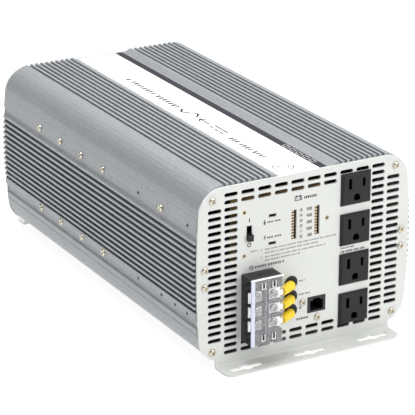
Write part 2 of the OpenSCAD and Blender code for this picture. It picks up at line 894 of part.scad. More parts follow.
module power_transistors() {
    color("#242426") both_sides() {
        for (y = chip_rows) translate([0, y, 0]) transistor(upper_screw_z - 4, upper_z);
        for (y = chip_rows) translate([0, y, 0]) transistor(lower_screw_z + 1, main_z + board_t);
        for (o = [-12, 12]) translate([0, upper_screw_y[0] + o, 0]) transistor(upper_screw_z - 4, upper_z);
    }
}

module clamp_bar(y0, y1, z, holes) {
    x1 = inside_half_w - chip.x;
    difference() {
        box([x1 - clamp_t, y0, z - 4], [x1, y1, z + 4]);
        for (y = holes) rod_x(y, z, m3_r + 0.01, x1 - clamp_t - 1, x1 + 1);
    }
}

module clamp_bars() {
    color("#7d8085") both_sides() {
        clamp_bar(-26, 110, upper_screw_z, [for (i = [1:4]) upper_screw_y[i]]);
        clamp_bar(-140, -101, upper_screw_z, [upper_screw_y[0]]);
        clamp_bar(-26, 110, lower_screw_z, lower_screw_y);
    }
}

// Ferrite cores standing on the main board, in pairs around a winding
core_depth = 44;
core_h = 40;
core_places = [for (x = [-45, 0, 45], y = [-40, 40]) [x * 0.72, y + 10]];

module at_core(p) {
    translate([p.x, p.y, main_z + board_t]) children();
}

module transformer_cores() {
    color("#2a2a2c") for (p = core_places) at_core(p) difference() {
        box([-14, -core_depth / 2, 0], [14, core_depth / 2, core_h]);
        box([-15, -core_depth / 2 + 7, 7], [15, core_depth / 2 - 7, core_h - 7]);
    }
    color("#2a2a2c") for (p = core_places) at_core(p)
        box([-5, -core_depth / 2 + 7 - e, 7 - e], [5, core_depth / 2 - 7 + e, core_h - 7 + e]);
}

module transformer_windings() {
    color("#c9a63c") for (p = core_places) at_core(p) difference() {
        box([-10.5, -core_depth / 2 + 7.2, 7.2], [10.5, core_depth / 2 - 7.2, core_h - 7.2]);
        box([-5.1, -core_depth / 2, 0], [5.1, core_depth / 2, core_h]);
    }
}

module can(x, y, r, h) {
    translate([x, y, main_z + board_t]) {
        cylinder(r = r, h = h - 1);
        translate([0, 0, h - 1 - e]) cylinder(r1 = r, r2 = r - 1, h = 1);
    }
}

module input_capacitors() {
    color("#2b3a66") for (x = [-66, -22, 0, 22, 66], y = [84, 108]) can(x, y, 9, 36);
}

module output_capacitors() {
    color("#33323a") for (x = [-62, -34], y = [-86, -118]) can(x, y, 12.5, 46);
}

module dc_fuses() {
    color("#3f6fb0") for (s = [-1, 1], i = [0:2])
        translate([s * 52 - 5, 62 - i * 26, main_z + board_t]) cube([10, 19, 14]);
}

// Toroidal choke lying on the main board
module output_choke() {
    color("#a86a2c") translate([22, -104, main_z + board_t + 9]) rotate_extrude()
        translate([17, 0]) circle(8.9);
}

module control_board() {
    color("#2f5d3a") box([-60, -70, main_z + board_t], [-58.4, -20, main_z + 44]);
}

// ---- assembly ----

module placed() {
    translate([0, 0, foot_drop]) children();
}

placed() top_shell();
placed() bottom_shell();
placed() front_panel();
placed() rear_panel();
placed() front_panel_screws();
placed() rear_panel_screws();
placed() side_screws();
placed() top_label();
placed() label_stripe();
placed() outlet(1);  // outlet_1
placed() outlet(2);  // outlet_2
placed() outlet(3);  // outlet_3
placed() outlet(4);  // outlet_4
placed() outlet_contacts();
placed() switch_body();
placed() switch_knob();
placed() indicator_board();
placed() board_standoffs();
placed() load_bar();
placed() battery_bar();
placed() status_lamps();
placed() remote_jack();
placed() remote_jack_screws();
placed() terminal_base();
placed() terminal_clamps();
placed() terminal_screws();
placed() terminal_cover();
placed() wire_grommets();
placed() ac_wires();
placed() lug_sleeves();
placed() lug_tongues();
placed() at_fan(-1) fan_frame();  // fan_frame_left
placed() at_fan(1) fan_frame();  // fan_frame_right
placed() at_fan(-1) fan_rotor();  // fan_rotor_left
placed() at_fan(1) fan_rotor();  // fan_rotor_right
placed() at_fan(-1) fan_guard();  // fan_guard_left
placed() at_fan(1) fan_guard();  // fan_guard_right
placed() fan_screws();
placed() dc_post_positive();
placed() dc_post_negative();
placed() dc_studs();
placed() dc_nuts();
placed() ground_stud();
placed() dc_bus_bars();
placed() main_board();
placed() main_board_standoffs();
placed() upper_board();
placed() upper_board_standoffs();
placed() power_transistors();
placed() clamp_bars();
placed() transformer_cores();
placed() transformer_windings();
placed() input_capacitors();
placed() output_capacitors();
placed() dc_fuses();
placed() output_choke();
placed() control_board();
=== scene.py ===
"""Looks for the power inverter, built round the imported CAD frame."""
import math
import random

import bmesh
import bpy
from mathutils import Matrix, Vector


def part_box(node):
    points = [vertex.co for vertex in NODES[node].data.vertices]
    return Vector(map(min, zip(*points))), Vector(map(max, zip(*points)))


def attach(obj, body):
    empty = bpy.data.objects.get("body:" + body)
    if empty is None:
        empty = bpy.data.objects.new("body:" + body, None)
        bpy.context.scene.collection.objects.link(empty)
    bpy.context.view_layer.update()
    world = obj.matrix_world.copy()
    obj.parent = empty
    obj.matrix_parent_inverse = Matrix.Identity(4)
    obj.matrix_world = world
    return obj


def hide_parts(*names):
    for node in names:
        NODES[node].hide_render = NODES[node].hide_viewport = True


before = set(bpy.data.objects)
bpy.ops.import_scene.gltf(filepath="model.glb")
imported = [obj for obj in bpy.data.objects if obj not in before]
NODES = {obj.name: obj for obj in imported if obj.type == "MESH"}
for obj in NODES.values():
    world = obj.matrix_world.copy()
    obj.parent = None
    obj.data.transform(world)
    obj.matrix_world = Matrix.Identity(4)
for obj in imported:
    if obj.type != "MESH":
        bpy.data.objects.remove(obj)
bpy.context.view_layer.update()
MM = 0.001

# ---- places that the frame gives, in metres ----
FRONT_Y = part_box("front_panel")[1][1] - 1.5 * MM       # outer face of the output panel
REAR_Y = -FRONT_Y
MID_Z = (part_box("outlet_1")[1][2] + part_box("outlet_4")[0][2]) / 2     # height of the panels' middle
LABEL_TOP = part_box("top_label")[1][2]


# ---- materials ----

class Nodes:
    """Short names for building a node tree."""

    def __init__(self, name):
        self.mat = bpy.data.materials.new(name)
        self.mat.use_nodes = True
        self.tree = self.mat.node_tree
        self.bsdf = self.tree.nodes["Principled BSDF"]
        coord = self.tree.nodes.new("ShaderNodeTexCoord")
        self.coord = coord.outputs["Object"]

    def add(self, kind, **values):
        node = self.tree.nodes.new(kind)
        for key, value in values.items():
            if hasattr(node, key):
                setattr(node, key, value)
            else:
                self.put(node.inputs[key.replace("_", " ").title()], value)
        return node

    def put(self, socket, value):
        if isinstance(value, bpy.types.NodeSocket):
            self.tree.links.new(value, socket)
        else:
            socket.default_value = value

    def stretched(self, scale):
        mapping = self.tree.nodes.new("ShaderNodeMapping")
        self.put(mapping.inputs["Vector"], self.coord)
        mapping.inputs["Scale"].default_value = scale
        return mapping.outputs["Vector"]

    def noise(self, scale, detail=3.0, vector=None):
        node = self.tree.nodes.new("ShaderNodeTexNoise")
        self.put(node.inputs["Vector"], vector or self.coord)
        node.inputs["Scale"].default_value = scale
        node.inputs["Detail"].default_value = detail
        return node.outputs["Fac"]

    def spread(self, value, low, high, a=0.3, b=0.7):
        node = self.tree.nodes.new("ShaderNodeMapRange")
        self.put(node.inputs["Value"], value)
        node.inputs["From Min"].default_value = a
        node.inputs["From Max"].default_value = b
        node.inputs["To Min"].default_value = low
        node.inputs["To Max"].default_value = high
        return node.outputs["Result"]

    def math(self, operation, a, b):
        node = self.tree.nodes.new("ShaderNodeMath")
        node.operation = operation
        self.put(node.inputs[0], a)
        self.put(node.inputs[1], b)
        return node.outputs[0]

    def tint(self, color, factor):
        """color times a grey factor."""
        node = self.tree.nodes.new("ShaderNodeVectorMath")
        node.operation = "SCALE"
        self.put(node.inputs[0], color)
        self.put(node.inputs["Scale"], factor)
        return node.outputs[0]

    def bump(self, height, distance, strength=1.0):
        node = self.tree.nodes.new("ShaderNodeBump")
        node.inputs["Strength"].default_value = strength
        node.inputs["Distance"].default_value = distance
        self.put(node.inputs["Height"], height)
        return node.outputs["Normal"]


def rgb(hex_code):
    """Linear colour from an sRGB hex code."""
    parts = [int(hex_code[i:i + 2], 16) / 255 for i in (1, 3, 5)]
    return [p / 12.92 if p <= 0.04045 else ((p + 0.055) / 1.055) ** 2.4 for p in parts]


def surface(name, color, rough, metal=0.0, fine=(2500, 0.06), cloud=(25, 0.05), streak=0.0,
            relief=(1800, 0.01), rough_range=0.06, coat=0.0, specular=0.5):
    """A finished material: fine grain, slow colour drift, lengthwise streaks, uneven gloss and relief."""
    n = Nodes(name)
    shade = n.math("ADD", n.spread(n.noise(fine[0], 2.0), -fine[1], fine[1]), 1.0)
    drift = n.spread(n.noise(cloud[0], 4.0), -cloud[1], cloud[1])
    shade = n.math("ADD", shade, drift)
    height = n.noise(relief[0], 3.0)
    if streak:
        lines = n.noise(900, 3.0, n.stretched((1, 0.004, 1)))
        shade = n.math("ADD", shade, n.spread(lines, -streak, streak))
        height = n.math("ADD", height, n.math("MULTIPLY", lines, 1.5))
    tinted = n.tint([*rgb(color)], shade)
    n.put(n.bsdf.inputs["Base Color"], tinted)
    n.put(n.bsdf.inputs["Roughness"], n.spread(n.noise(fine[0] * 0.3), rough - rough_range, rough + rough_range))
    n.put(n.bsdf.inputs["Normal"], n.bump(height, relief[1] * MM))
    n.bsdf.inputs["Metallic"].default_value = metal
    n.bsdf.inputs["Specular IOR Level"].default_value = specular
    n.bsdf.inputs["Coat Weight"].default_value = coat
    return n.mat


def cover_plastic(name, color, rough, alpha):
    """Hazy clear plastic: part of the light passes straight through, and faint swirls show in its gloss."""
    n = Nodes(name)
    shade = n.spread(n.noise(60, 3.0), 0.94, 1.06)
    n.put(n.bsdf.inputs["Base Color"], n.tint([*rgb(color)], shade))
    n.put(n.bsdf.inputs["Roughness"], n.spread(n.noise(300), rough, rough + 0.05))
    n.put(n.bsdf.inputs["Normal"], n.bump(n.noise(90), 0.01 * MM))
    n.put(n.bsdf.inputs["Alpha"], n.spread(n.noise(140, 3.0), alpha - 0.03, alpha + 0.03))
    return n.mat


MATS = {
    "shell": surface("anodised", "#999c9f", 0.44, 0.35, fine=(1100, 0.2), cloud=(12, 0.03), streak=0.012,
                     relief=(1500, 0.02)),
    "panel": surface("panel_paint", "#d3d5d2", 0.45, fine=(1800, 0.02), cloud=(15, 0.02), relief=(900, 0.008)),
    "screw": surface("nickel", "#cfc8b8", 0.26, 1.0, fine=(1500, 0.06), relief=(700, 0.01)),
    "label": surface("label_film", "#f6f6f0", 0.38, fine=(1500, 0.012), cloud=(20, 0.012), relief=(600, 0.004)),
    "stripe": surface("label_band", "#323037", 0.5, fine=(1500, 0.03), relief=(600, 0.004), specular=0.2),
    "ink": surface("ink", "#242427", 0.7, specular=0.2, fine=(4000, 0.12), relief=(3000, 0.004)),
    "soft_ink": surface("ink_grey", "#707274", 0.6, fine=(4000, 0.12), relief=(3000, 0.004)),
    "outlet": surface("outlet_resin", "#151518", 0.5, fine=(3000, 0.08), relief=(2500, 0.012), specular=0.35),
    "black": surface("black_resin", "#17171a", 0.45, fine=(3000, 0.10), relief=(2500, 0.01)),
    "knob": surface("knob_resin", "#1b1b1d", 0.5, fine=(3000, 0.10), relief=(2500, 0.01)),
    "gloss_black": surface("block_resin", "#121215", 0.3, fine=(2500, 0.06), relief=(300, 0.004), specular=0.4),
    "nickel": surface("bright_nickel", "#e8e8e6", 0.22, 1.0, fine=(1500, 0.05), relief=(700, 0.01)),
    # painted reflection: the nickel plates are plain white with hardly any metal, standing in for the bright light
    # that polished nickel reflects
    "plate": surface("plate_painted_gleam", "#ffffff", 0.3, 0.1, fine=(1500, 0.05), relief=(700, 0.01)),
    "dull_nickel": surface("dull_nickel", "#b4b4b0", 0.25, 1.0, fine=(1500, 0.05), relief=(700, 0.01)),
    "cover": cover_plastic("smoky_cover", "#e6e8ec", 0.1, 0.15),
    "cover_edge": cover_plastic("clear_edge", "#d8def0", 0.12, 0.88),
    "cover_rim": cover_plastic("cast_rim", "#ffffff", 0.2, 0.93),
    "label_ink": surface("label_ink", "#4a4a4e", 0.5, fine=(4000, 0.1), relief=(3000, 0.004)),
    "label_soft": surface("label_ink_grey", "#98999b", 0.5, fine=(4000, 0.1), relief=(3000, 0.004)),
    "white_ink": surface("white_ink", "#c9c9cb", 0.5, fine=(4000, 0.06), relief=(3000, 0.004)),
    "rubber": surface("grommet_rubber", "#141416", 0.62, fine=(2500, 0.1), relief=(1500, 0.015)),
    "wire": surface("wire_jacket", "#121214", 0.4, fine=(2500, 0.08), relief=(1200, 0.01)),
    "sleeve": surface("sleeve_vinyl", "#eccb22", 0.45, fine=(900, 0.04), cloud=(160, 0.06), relief=(500, 0.02)),
    "brass": surface("brass", "#c8a04a", 0.3, 1.0, fine=(1500, 0.06)),
    "tan_board": surface("phenolic_board", "#9a7c4e", 0.55, fine=(1200, 0.08)),
    "green_board": surface("glass_board", "#2f5d3a", 0.4, fine=(1200, 0.08)),
    "posts": surface("post_steel", "#cfc9bb", 0.35, 0.5, fine=(1500, 0.05)),
    "display": surface("display_case", "#141110", 0.6, fine=(1500, 0.06), specular=0.2),
    "segment": surface("segment_resin", "#cfb99c", 0.5, fine=(2000, 0.05), cloud=(300, 0.05)),
    "lamp": surface("lamp_resin", "#120d0d", 0.6, fine=(1500, 0.06), specular=0.2),
    "rotor": surface("fan_resin", "#202023", 0.45, fine=(2500, 0.08), relief=(2000, 0.01)),
    "guard": surface("guard_chrome", "#d3d5d8", 0.18, 1.0, fine=(1200, 0.04), relief=(500, 0.006)),
    "red": surface("post_red", "#a8201f", 0.4, fine=(2500, 0.07), relief=(2000, 0.012)),
    "stud": surface("stud_plate", "#cdb66e", 0.28, 1.0, fine=(1500, 0.06)),
    "copper": surface("copper", "#b5713c", 0.32, 1.0, fine=(1200, 0.08)),
    "bar": surface("bar_metal", "#808388", 0.45, 0.8, fine=(1500, 0.08)),
    "ferrite": surface("ferrite", "#26272a", 0.6, fine=(1800, 0.12)),
    "winding": surface("winding_tape", "#c8a93e", 0.4, fine=(900, 0.06)),
    "can_blue": surface("can_blue", "#2a3a68", 0.3, fine=(900, 0.05)),
    "can_black": surface("can_black", "#313038", 0.3, fine=(900, 0.05)),
    "fuse": surface("fuse_blue", "#3d6bab", 0.3, fine=(900, 0.05)),
}

glow = MATS["plate"].node_tree.nodes["Principled BSDF"].inputs      # painted highlight: the plates glow faintly, standing in for light gleaming off them through the cover
glow["Emission Color"].default_value = (1, 1, 1, 1)
glow["Emission Strength"].default_value = 0.16

NODE_MATERIALS = {
    "shell": ["top_shell", "bottom_shell"],
    "panel": ["front_panel", "rear_panel"],
    "label": ["top_label"],
    "stripe": ["label_stripe"],
    "outlet": ["outlet_1", "outlet_2", "outlet_3", "outlet_4"],
    "brass": ["outlet_contacts"],
    "black": ["switch_body", "remote_jack", "fan_frame_left", "fan_frame_right", "dc_post_negative",
              "power_transistors"],
    "knob": ["switch_knob"],
    "gloss_black": ["terminal_base"],
    "plate": ["terminal_clamps"],
    "nickel": ["lug_tongues", "dc_nuts", "ground_stud"],
    "screw": ["front_panel_screws", "rear_panel_screws", "side_screws", "remote_jack_screws", "fan_screws"],
    "rubber": ["wire_grommets"],
    "wire": ["ac_wires"],
    "sleeve": ["lug_sleeves"],
    "tan_board": ["indicator_board", "upper_board"],
    "green_board": ["main_board", "control_board"],
    "posts": ["board_standoffs", "main_board_standoffs", "upper_board_standoffs"],
    "display": ["load_bar", "battery_bar"],
    "lamp": ["status_lamps"],
    "rotor": ["fan_rotor_left", "fan_rotor_right"],
    "guard": ["fan_guard_left", "fan_guard_right"],
    "red": ["dc_post_positive"],
    "stud": ["dc_studs"],
    "copper": ["dc_bus_bars", "output_choke"],
    "bar": ["clamp_bars"],
    "ferrite": ["transformer_cores"],
    "winding": ["transformer_windings"],
    "can_blue": ["input_capacitors"],
    "can_black": ["output_capacitors"],
    "fuse": ["dc_fuses"],
    "cover": ["terminal_cover"],
}
for key, names in NODE_MATERIALS.items():
    for name in names:
        if name in NODES:
            NODES[name].data.materials.clear()
            NODES[name].data.materials.append(MATS[key])
NODES["terminal_screws"].data.materials.clear()
NODES["terminal_screws"].data.materials.append(MATS["nickel"])

# ---- forms ----

def islands(name):
    """The boxes of a CAD node's separate solids, at rest, in the row frame."""
    bm = bmesh.new()
    bm.from_mesh(NODES[name].data)
    bm.transform(NODES[name].matrix_world)
    bmesh.ops.remove_doubles(bm, verts=bm.verts, dist=1e-6)
    boxes, seen = [], set()
    for first in bm.verts:
        if first in seen:
            continue
        group, todo = [], [first]
        seen.add(first)
        while todo:
            vert = todo.pop()
            group.append(vert.co.copy())
            for edge in vert.link_edges:
                other = edge.other_vert(vert)
                if other not in seen:
                    seen.add(other)
                    todo.append(other)
        boxes.append((Vector(min(p[i] for p in group) for i in range(3)),
                      Vector(max(p[i] for p in group) for i in range(3))))
    bm.free()
    return boxes


def facing(place, direction):
    """Matrix in mm whose +Z points along direction from a place in the row frame."""
    turn = Vector(direction).to_track_quat("Z", "Y").to_matrix().to_4x4()
    return Matrix.Translation(place) @ turn @ Matrix.Scale(MM, 4)


class Piece:
    """Gathers simple forms into one mesh. Forms are drawn in mm and placed by a matrix."""

    def __init__(self):
        self.bm = bmesh.new()

    def skin(self, rings, matrix, caps=(True, True)):
        rows = [[self.bm.verts.new(matrix @ Vector(p)) for p in ring] for ring in rings]
        for a, b in zip(rows, rows[1:]):
            for i in range(len(a)):
                j = (i + 1) % len(a)
                self.bm.faces.new((a[i], a[j], b[j], b[i]))
        if caps[0]:
            self.bm.faces.new(rows[0][::-1])
        if caps[1]:
            self.bm.faces.new(rows[-1])

    def lathe(self, profile, matrix, sides=40, closed=False):
        """Turns (radius, height) points round +Z."""
        rings = []
        for radius, height in profile:
            radius = max(radius, 0.003)
            rings.append([(radius * math.cos(2 * math.pi * i / sides), radius * math.sin(2 * math.pi * i / sides),
                           height) for i in range(sides)])
        if closed:
            rings.append(rings[0])
        self.skin(rings, matrix, (not closed, not closed))

    def prism(self, outline, low, high, matrix):
        """An outline in X and Y between two heights."""
        self.skin([[(x, y, low) for x, y in outline], [(x, y, high) for x, y in outline]], matrix)

    def block(self, low, high, matrix):
        self.prism([(low[0], low[1]), (high[0], low[1]), (high[0], high[1]), (low[0], high[1])],
                   low[2], high[2], matrix)

    def tube(self, path, radius, matrix, sides=14, closed=False):
        """A round bar along a path; radius may be one value or one for each point."""
        points = [Vector(p) for p in path]
        radii = radius if isinstance(radius, list) else [radius] * len(points)
        rings, side = [], None
        for i, point in enumerate(points):
            before = points[i - 1] if i or closed else point
            after = points[(i + 1) % len(points)] if i + 1 < len(points) or closed else point
            along = (after - before).normalized()
            side = (side or along.orthogonal())
            side = (side - along * side.dot(along)).normalized()
            up = along.cross(side)
            rings.append([point + radii[i] * (side * math.cos(2 * math.pi * k / sides)
                                              + up * math.sin(2 * math.pi * k / sides)) for k in range(sides)])
        if closed:
            rings.append(rings[0])
        self.skin(rings, matrix, (not closed, not closed))

    def ring(self, radius, bar, matrix, steps=64):
        circle = [(radius * math.cos(2 * math.pi * i / steps), radius * math.sin(2 * math.pi * i / steps), 0)
                  for i in range(steps)]
        self.tube(circle, bar, matrix, 10, closed=True)

    def done(self, name, material, slot, body="case", stands_for=(), bevel=0.0, smooth=40):
        bmesh.ops.remove_doubles(self.bm, verts=self.bm.verts, dist=1e-7)
        bmesh.ops.recalc_face_normals(self.bm, faces=self.bm.faces)
        mesh = bpy.data.meshes.new(name)
        self.bm.to_mesh(mesh)
        self.bm.free()
        obj = bpy.data.objects.new(name, mesh)
        bpy.context.collection.objects.link(obj)
        mesh.materials.append(MATS[material])
        mesh.shade_smooth()
        mesh.set_sharp_from_angle(angle=math.radians(smooth))
        if bevel:
            soften(obj, bevel)
        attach(obj, body)
        if stands_for:
            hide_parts(*stands_for)
        return obj


def soften(obj, width, segments=2):
    """Rounds an object's sharp edges; the width is in mm."""
    modifier = obj.modifiers.new("soft edges", "BEVEL")
    modifier.width = width * MM
    modifier.segments = segments
    modifier.limit_method = "ANGLE"
    modifier.angle_limit = math.radians(40)


# Drawing planes, in mm: X and Z from the middle of the output panel with height out of it, the
# same on the DC panel seen from behind, and X and Y on the label with Y counted from the panel
PANEL = Matrix.Translation((0, FRONT_Y, MID_Z)) @ Matrix.Rotation(math.pi / 2, 4, "X") @ Matrix.Scale(MM, 4)
REAR = Matrix.Rotation(math.pi, 4, "Z") @ PANEL
LABEL = Matrix.Translation((0, FRONT_Y, LABEL_TOP)) @ Matrix.Scale(MM, 4)
INK = (0.01, 0.05)                                     # lower and upper height of a print


# ---- screws ----

def pan_head(piece, matrix, radius, height, spin):
    """Domed head with a cross recess; the seat is at height 0."""
    sides, steps = 48, 13
    arm_width, arm_length, depth = 0.16 * radius, 0.62 * radius, 0.62 * height

    def slope(value):
        value = min(max(value, 0.0), 1.0)
        return value * value * (3 - 2 * value)

    def top(x, y):
        reach = min(math.hypot(x, y) / radius, 1.0)
        dome = height * (0.5 + 0.5 * math.sqrt(max(0.0, 1 - reach ** 2.6)))
        a, b = abs(x * math.cos(spin) + y * math.sin(spin)), abs(y * math.cos(spin) - x * math.sin(spin))
        cut = max(slope((arm_length - a) / (0.3 * radius)) * slope((arm_width - b) / (0.08 * radius) + 0.5),
                  slope((arm_length - b) / (0.3 * radius)) * slope((arm_width - a) / (0.08 * radius) + 0.5))
        return dome - depth * cut

    rings = [[(radius * math.cos(2 * math.pi * i / sides), radius * math.sin(2 * math.pi * i / sides), 0)
              for i in range(sides)]]
    for step in range(steps, 0, -1):
        r = radius * step / steps
        ring = [(r * math.cos(2 * math.pi * i / sides), r * math.sin(2 * math.pi * i / sides)) for i in range(sides)]
        rings.append([(x, y, top(x, y)) for x, y in ring])
    rings.append([(0.003 * x, 0.003 * y, top(0, 0)) for x, y, _ in rings[-1]])
    piece.skin(rings, matrix)


def screw_set(node, name, direction, height, material="screw", slot="screws", shank=0.0):
    """A detailed head for each screw of a CAD node; direction is the way a head faces."""
    spins = random.Random(name)
    piece = Piece()
    for low, high in islands(node):
        way = Vector(direction)
        middle = (low + high) / 2
        if way.x:
            way.x = math.copysign(1, middle.x)
        axis = max(range(3), key=lambda i: abs(way[i]))
        radius = max((high - low)[i] for i in range(3) if i != axis) / 2 / MM
        middle[axis] = (high if way[axis] > 0 else low)[axis]
        seat = middle - way * height * MM
        matrix = facing(seat, way)
        pan_head(piece, matrix, radius, height, spins.uniform(0, math.pi))
        if shank:
            piece.lathe([(shank, 0.05), (shank, -6)], matrix, 20)
    piece.done(name, material, slot, stands_for=[node], smooth=35)


def add_screws():
    screw_set("front_panel_screws", "panel_screws_front", (0, -1, 0), 2.0)
    screw_set("rear_panel_screws", "panel_screws_rear", (0, 1, 0), 2.0)
    screw_set("side_screws", "case_side_screws", (1, 0, 0), 1.9)
    screw_set("remote_jack_screws", "jack_screws", (0, -1, 0), 1.9)
    screw_set("fan_screws", "fan_mounting_screws", (0, 1, 0), 2.2)
    screw_set("terminal_screws", "pole_screws", (0, -1, 0), 2.2, "dull_nickel", "nickel", shank=2.0)


# ---- displays ----

def add_bar(node):
    """A dark housing with ten bright segments along its left side."""
    low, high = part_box(node)
    x0, x1 = low[0] / MM, high[0] / MM
    z0, z1 = (low[2] - MID_Z) / MM, (high[2] - MID_Z) / MM
    floor = -2.0                                       # depth of the window's floor behind the panel's face
    housing, segments = Piece(), Piece()
    housing.block((x0, z0, -9), (x1, z1, floor), PANEL)
    pitch = (z1 - z0 - 0.7) / 10
    middle = (x0 + x1) / 2
    for i in range(10):
        z = z0 + 0.35 + pitch * (i + 0.5)
        segments.block((middle - 2.75, z - 0.29 * pitch, floor - 0.3),
                       (middle + 0.75, z + 0.29 * pitch, floor + 0.85), PANEL)
    housing.done(node + "_housing", "display", "display", stands_for=[node], bevel=0.2)
    segments.done(node + "_segments", "segment", "display", bevel=0.15)


# ---- leads and terminal block ----

LEAD_TILT = math.radians(30)
LEAD_BEND, LEAD_OUT, LEAD_R = 4.0, 0.8, 2.3
SLEEVE_LEN = 15.4


def lead_axis():
    """Where a sleeve starts and which way it runs, counted from its lead's hole, in mm on the panel plane."""
    turn = math.pi / 2 - LEAD_TILT
    start = Vector((-LEAD_BEND * (1 - math.cos(turn)), 0, LEAD_OUT + LEAD_BEND * math.sin(turn)))
    return start, Vector((-math.cos(LEAD_TILT), 0, math.sin(LEAD_TILT)))


def add_leads():
    wires, sleeves, grommets = Piece(), Piece(), Piece()
    start, way = lead_axis()
    turn = math.pi / 2 - LEAD_TILT
    for low, high in islands("wire_grommets"):
        x, z = (low[0] + high[0]) / 2 / MM, ((low[2] + high[2]) / 2 - MID_Z) / MM
        radius = (high[0] - low[0]) / 2 / MM
        here = PANEL @ Matrix.Translation((x, z, 0))
        bend = [(-LEAD_BEND * (1 - math.cos(turn * i / 8)), 0, LEAD_OUT + LEAD_BEND * math.sin(turn * i / 8))
                for i in range(9)]
        wires.tube([(0, 0, -50), (0, 0, -1), *bend, tuple(start + way * 3.4)], LEAD_R, here, 20)
        axis = here @ Matrix.Translation(start) @ way.to_track_quat("Z", "Y").to_matrix().to_4x4()
        # vinyl sleeve: flared mouth, swell over the barrel, pinched far end
        sleeves.lathe([(2.35, 3.2), (2.6, 1.2), (3.2, 0.45), (3.7, 0.42), (3.95, 0.8), (3.9, 2.0), (3.65, 4.0),
                       (3.85, 7.0), (3.8, 9.5), (3.55, 12.5), (3.5, SLEEVE_LEN - 0.5), (3.2, SLEEVE_LEN),
                       (2.2, SLEEVE_LEN), (0.0, SLEEVE_LEN - 0.4)], axis, 40)
        rim = radius
        grommets.lathe([(2.32, -3), (2.32, 0.2), (2.7, 0.72), (3.6, LEAD_OUT), (rim - 0.6, LEAD_OUT - 0.02),
                        (rim - 0.1, 0.5), (rim, 0.02), (rim - 1.05, 0.0), (rim - 1.05, -1.5), (rim, -1.5),
                        (rim, -3)], here, 48, closed=True)
    wires.done("lead_wires", "wire", "wire", stands_for=["ac_wires"])
    sleeves.done("lead_sleeves", "sleeve", "yellow_sleeve", stands_for=["lug_sleeves"], smooth=60)
    grommets.done("lead_grommets", "rubber", "rubber", stands_for=["wire_grommets"])


def add_cover():
    """Clear pull-off cover: a hazy plate with four slots, two ribs, and bright cast edges."""
    low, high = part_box("terminal_cover")
    x0, x1 = low[0] / MM, high[0] / MM
    z0, z1 = (low[2] - MID_Z) / MM, (high[2] - MID_Z) / MM
    out = (FRONT_Y - low[1]) / MM                      # outermost face, on the ribs
    face, under = out - 0.4, (FRONT_Y - high[1]) / MM
    middle, slot_w, slot_h = (x0 + x1) / 2, 2.2, 4.5
    slots_x = (middle - 3.5, middle + 6.0)
    slots_z = ((z0 + z1) / 2 + 22.0, (z0 + z1) / 2 - 22.1)
    plate, edges, rims = Piece(), Piece(), Piece()
    # the plate is cut into strips round its slots
    xs = sorted([x0 + 3.3, x1] + [x + s * slot_w / 2 for x in slots_x for s in (-1, 1)])
    zs = sorted([z0, z1 - 0.9] + [z + s * slot_h / 2 for z in slots_z for s in (-1, 1)])
    grid = {}

    def vert(i, j, height):
        key = (i, j, height)
        if key not in grid:
            grid[key] = plate.bm.verts.new(PANEL @ Vector((xs[i], zs[j], height)))
        return grid[key]

    holes = {(i, j) for i in (1, 3) for j in (1, 3)}
    cells = {(i, j) for i in range(len(xs) - 1) for j in range(len(zs) - 1)} - holes
    for i, j in cells:
        corners = ((i, j), (i + 1, j), (i + 1, j + 1), (i, j + 1))
        plate.bm.faces.new([vert(a, b, face) for a, b in corners])
        plate.bm.faces.new([vert(a, b, under) for a, b in reversed(corners)])
        for k, step in enumerate(((0, -1), (1, 0), (0, 1), (-1, 0))):
            if (i + step[0], j + step[1]) not in cells:
                a, b = corners[k], corners[(k + 1) % 4]
                plate.bm.faces.new((vert(*a, under), vert(*b, under), vert(*b, face), vert(*a, face)))
    for x in (-1.6, 1.6):
        plate.block((middle + x - 0.45, (z0 + z1) / 2 - 20, face - 0.05),
                    (middle + x + 0.45, (z0 + z1) / 2 + 20, out), PANEL)
    plate.done("cover_plate", "cover", "clear_cover", "cover", ["terminal_cover"])
    # solid cast edges: a wide rolled one on the left and a narrow one on top
    edges.block((x0, z0, under), (x0 + 3.3, z1 - 0.9, face), PANEL)
    edges.done("cover_left_edge", "cover_edge", "clear_cover", "cover", bevel=0.3)
    rims.block((x0, z1 - 0.9, under), (x1, z1, face), PANEL)
    for x in slots_x:
        for z in slots_z:
            a, b, t = slot_w / 2, slot_h / 2, 0.55
            for box in (((x - a - t, z - b - t), (x - a, z + b + t)), ((x + a, z - b - t), (x + a + t, z + b + t)),
                        ((x - a, z - b - t), (x + a, z - b))):
                rims.block((*box[0], face - 0.3), (*box[1], face + 0.25), PANEL)
    rims.done("cover_rims", "cover_rim", "clear_cover", "cover")
    catches = Piece()
    for x in slots_x:
        for z in slots_z:
            catches.block((x - slot_w / 2, z - slot_h / 2, under - 0.2), (x + slot_w / 2, z + slot_h / 2, face - 0.6),
                          PANEL)
    catches.done("cover_catches", "black", "clear_cover", "cover")


# ---- printing ----

SEGMENTS = {"0": "abcdef", "1": "bc", "2": "abged", "3": "abgcd", "4": "fgbc", "5": "afgcd"}
STROKES = {"a": ((0, 1), (1, 1)), "b": ((1, 1), (1, 0.5)), "c": ((1, 0.5), (1, 0)), "d": ((0, 0), (1, 0)),
           "e": ((0, 0.5), (0, 0)), "f": ((0, 1), (0, 0.5)), "g": ((0, 0.5), (1, 0.5))}


def stroke(piece, matrix, a, b, width):
    """A flat printed line from a to b."""
    a, b = Vector(a), Vector(b)
    along = (b - a).normalized() * width / 2
    side = Vector((-along.y, along.x))
    a, b = a - along, b + along
    piece.prism([tuple(a - side), tuple(b - side), tuple(b + side), tuple(a + side)], *INK, matrix)


def lines(piece, matrix, points, width, closed=False):
    for a, b in zip(points, points[1:] + (points[:1] if closed else [])):
        stroke(piece, matrix, a, b, width)


def circle(piece, matrix, x, y, radius, width, steps=24, arc=1.0):
    lines(piece, matrix, [(x + radius * math.cos(2 * math.pi * arc * i / steps),
                           y + radius * math.sin(2 * math.pi * arc * i / steps)) for i in range(steps + 1)], width)


